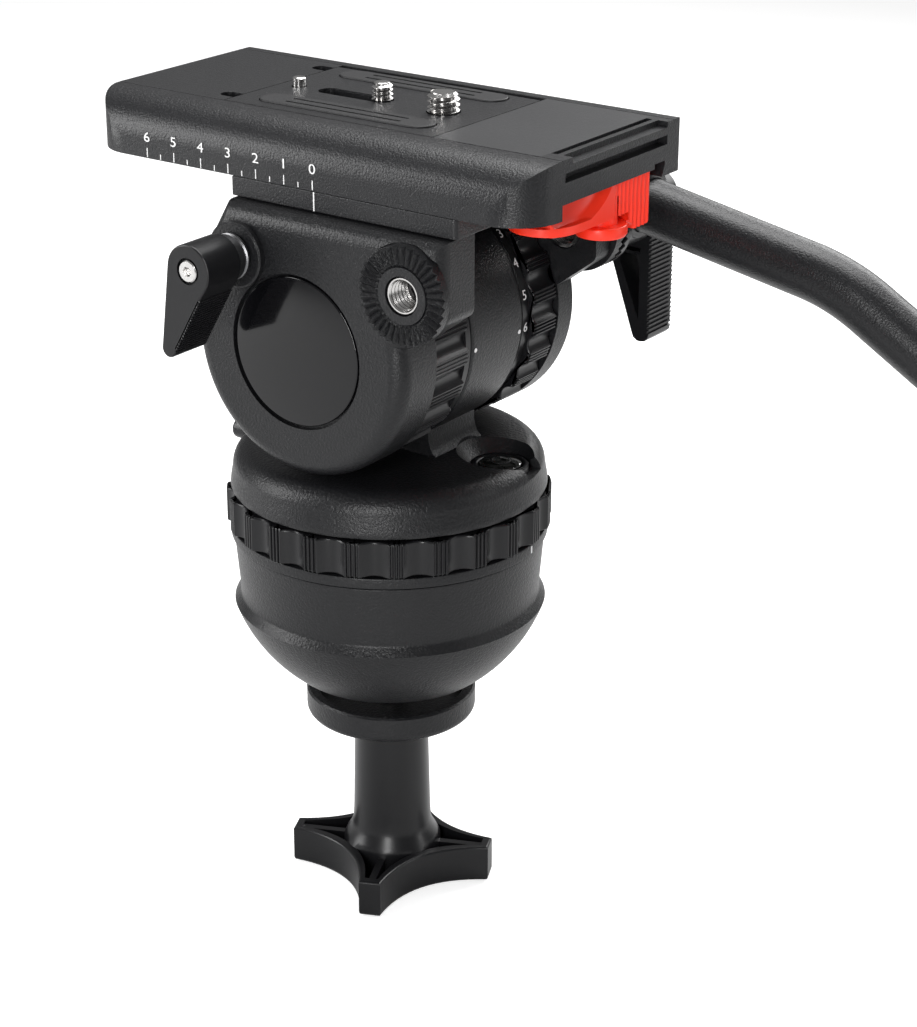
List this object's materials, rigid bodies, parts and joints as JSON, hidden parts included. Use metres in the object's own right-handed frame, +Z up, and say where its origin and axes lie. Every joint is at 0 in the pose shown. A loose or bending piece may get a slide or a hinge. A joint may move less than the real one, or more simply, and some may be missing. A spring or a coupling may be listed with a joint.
{
  "type": "fluid video head",
  "caption": "Ball-levelled fluid head with pan and tilt drag, counterbalance, sliding carriage, quick-release camera plate, pan bar and tie-down knob.",
  "frame": {"origin": "centre of the levelling ball's sphere, on the pan axis, where the bowl of the tripod holds it", "axes": "+Z up along the pan axis, -X towards the front of the head and its lens side, +Y towards the pan bar's side"},
  "size_m": [0.4017, 0.1497, 0.2519],
  "materials": {
    "cast_black": "fine-textured black powder coat",
    "anodised_black": "bead-blasted black anodising",
    "moulded_black": "satin moulded black",
    "black_rubber": "matt black rubber",
    "bright_steel": "bright turned steel",
    "dark_steel": "oiled dark steel",
    "gloss_black": "clear-domed gloss black",
    "red_plastic": "satin red moulding",
    "level_vial": "clear tinted vial",
    "friction_lining": "brown friction lining"
  },
  "bodies": {
    "base": {"half_ball": "cast_black", "pan_axle": "dark_steel", "pan_bearing_lower": "bright_steel", "pan_bearing_upper": "bright_steel", "pan_axle_nut": "bright_steel", "pan_drag_disc": "friction_lining", "pan_index_ring": "cast_black", "tie_down_stud": "bright_steel"},
    "tie_down_cup": {"tie_down_cup": "cast_black"},
    "tie_down_knob": {"tie_down_knob": "moulded_black", "tie_down_nut": "bright_steel"},
    "pan_unit": {"pan_housing": "cast_black", "bubble_level_bezel": "moulded_black", "bubble_level_vial": "level_vial", "tilt_bearing_near": "bright_steel", "tilt_bearing_far": "bright_steel", "counterbalance_spring": "dark_steel", "tilt_drag_disc_1": "friction_lining", "tilt_drag_disc_2": "friction_lining", "tilt_drag_disc_3": "friction_lining"},
    "pan_drag": {"pan_drag_ring": "moulded_black"},
    "pan_brake": {"pan_brake_lever": "moulded_black", "pan_brake_shaft": "bright_steel"},
    "counterbalance": {"counterbalance_ring": "moulded_black"},
    "tilt_drag": {"tilt_drag_ring": "moulded_black"},
    "tilt_unit": {"near_cheek": "cast_black", "far_cheek": "cast_black", "near_badge": "gloss_black", "far_badge": "gloss_black", "near_rosette": "cast_black", "near_rosette_insert": "bright_steel", "far_rosette": "cast_black", "far_rosette_insert": "bright_steel", "tilt_axle": "dark_steel", "axle_screw": "bright_steel", "tilt_platform": "anodised_black"},
    "tilt_brake": {"tilt_brake_lever": "moulded_black", "tilt_brake_shaft": "dark_steel", "tilt_brake_screw": "bright_steel"},
    "slide_lock": {"slide_lock_lever": "moulded_black"},
    "carriage": {"carriage": "anodised_black", "release_pivot_pin": "bright_steel"},
    "jaw": {"plate_jaw": "anodised_black"},
    "release": {"plate_release_lever": "red_plastic"},
    "button": {"release_button": "red_plastic"},
    "plate": {"camera_plate": "anodised_black", "near_grip_strip": "black_rubber", "far_grip_strip": "black_rubber"},
    "video_pin": {"video_pin": "bright_steel"},
    "quarter_washer": {"quarter_screw_washer": "moulded_black"},
    "quarter_screw": {"quarter_screw": "bright_steel"},
    "three_eighths": {"three_eighths_screw": "bright_steel"},
    "bar": {"pan_bar_clamp": "moulded_black", "pan_bar": "anodised_black", "pan_bar_grip": "black_rubber", "pan_bar_cap": "moulded_black"},
    "wing": {"wing_lever": "moulded_black", "clamp_screw": "bright_steel"}
  },
  "joints": [
    {"name": "pan_turn", "type": "hinge", "parent": "base", "child": "pan_unit", "pos_m": [0, 0, 0.03], "axis": [0, 0, 1], "continuous": true},
    {"name": "cup_slide", "type": "slide", "parent": "base", "child": "tie_down_cup", "axis": [0, 0, 1], "range_m": [-0.00349, 0.00349]},
    {"name": "tie_down_turn", "type": "hinge", "parent": "tie_down_cup", "child": "tie_down_knob", "pos_m": [0, 0, -0.08], "axis": [0, 0, 1], "range_deg": [-720, 720]},
    {"name": "pan_drag_turn", "type": "hinge", "parent": "pan_unit", "child": "pan_drag", "pos_m": [0, 0, 0.0137], "axis": [0, 0, 1], "range_deg": [-60, 60]},
    {"name": "pan_brake_turn", "type": "hinge", "parent": "pan_unit", "child": "pan_brake", "pos_m": [-0.0519, 0.005, 0.0268], "axis": [1, 0, 0], "range_deg": [-70, 0]},
    {"name": "counterbalance_turn", "type": "hinge", "parent": "pan_unit", "child": "counterbalance", "pos_m": [0, -0.0168, 0.0713], "axis": [0, 1, 0], "range_deg": [-90, 90]},
    {"name": "tilt_drag_turn", "type": "hinge", "parent": "pan_unit", "child": "tilt_drag", "pos_m": [0, 0.0244, 0.0713], "axis": [0, 1, 0], "range_deg": [0, 102]},
    {"name": "tilt", "type": "hinge", "parent": "pan_unit", "child": "tilt_unit", "pos_m": [0, 0, 0.0713], "axis": [0, 1, 0], "range_deg": [-75, 65]},
    {"name": "tilt_brake_turn", "type": "hinge", "parent": "tilt_unit", "child": "tilt_brake", "pos_m": [-0.0195, -0.0574, 0.0965], "axis": [0, 1, 0], "range_deg": [0, 100]},
    {"name": "slide_lock_turn", "type": "hinge", "parent": "tilt_unit", "child": "slide_lock", "pos_m": [-0.012, 0.0465, 0.1023], "axis": [0, 1, 0], "range_deg": [0, 60]},
    {"name": "carriage_slide", "type": "slide", "parent": "tilt_unit", "child": "carriage", "axis": [1, 0, 0], "range_m": [0, 0.06]},
    {"name": "release_lever_turn", "type": "hinge", "parent": "carriage", "child": "release", "pos_m": [0.0675, 0.0075, 0.1155], "axis": [0, 0, 1], "range_deg": [0, 35]},
    {"name": "jaw_slide", "type": "slide", "parent": "carriage", "child": "jaw", "axis": [0, 1, 0], "range_m": [0, 0.0022]},
    {"name": "release_button_press", "type": "slide", "parent": "release", "child": "button", "axis": [0, 0, 1], "range_m": [0, 0.002], "stiffness_N_per_m": 600, "springref_m": -0.001},
    {"name": "plate_lift", "type": "slide", "parent": "carriage", "child": "plate", "axis": [0, 0, 1], "range_m": [0, 0.015]},
    {"name": "video_pin_press", "type": "slide", "parent": "plate", "child": "video_pin", "axis": [0, 0, -1], "range_m": [0, 0.0025], "stiffness_N_per_m": 500, "springref_m": -0.001},
    {"name": "quarter_screw_slide", "type": "slide", "parent": "plate", "child": "quarter_washer", "axis": [-1, 0, 0], "range_m": [0, 0.019]},
    {"name": "quarter_screw_turn", "type": "hinge", "parent": "quarter_washer", "child": "quarter_screw", "pos_m": [-0.0047, 0.0044, 0.13], "axis": [0, 0, 1], "continuous": true},
    {"name": "three_eighths_turn", "type": "hinge", "parent": "plate", "child": "three_eighths", "pos_m": [0.0177, 0.003, 0.13], "axis": [0, 0, 1], "continuous": true},
    {"name": "pan_bar_turn", "type": "hinge", "parent": "tilt_unit", "child": "bar", "pos_m": [0.038, 0.0595, 0.095], "axis": [0, 1, 0], "range_deg": [-60, 40]},
    {"name": "wing_turn", "type": "hinge", "parent": "bar", "child": "wing", "pos_m": [0.038, 0.0775, 0.095], "axis": [0, 1, 0], "range_deg": [-180, 180]}
  ],
  "couplings": [
    {"joint": "tie_down_turn", "follows": "cup_slide", "rad_per_m": 3597},
    {"joint": "jaw_slide", "follows": "release_lever_turn", "m_per_rad": 0.0036}
  ]
}
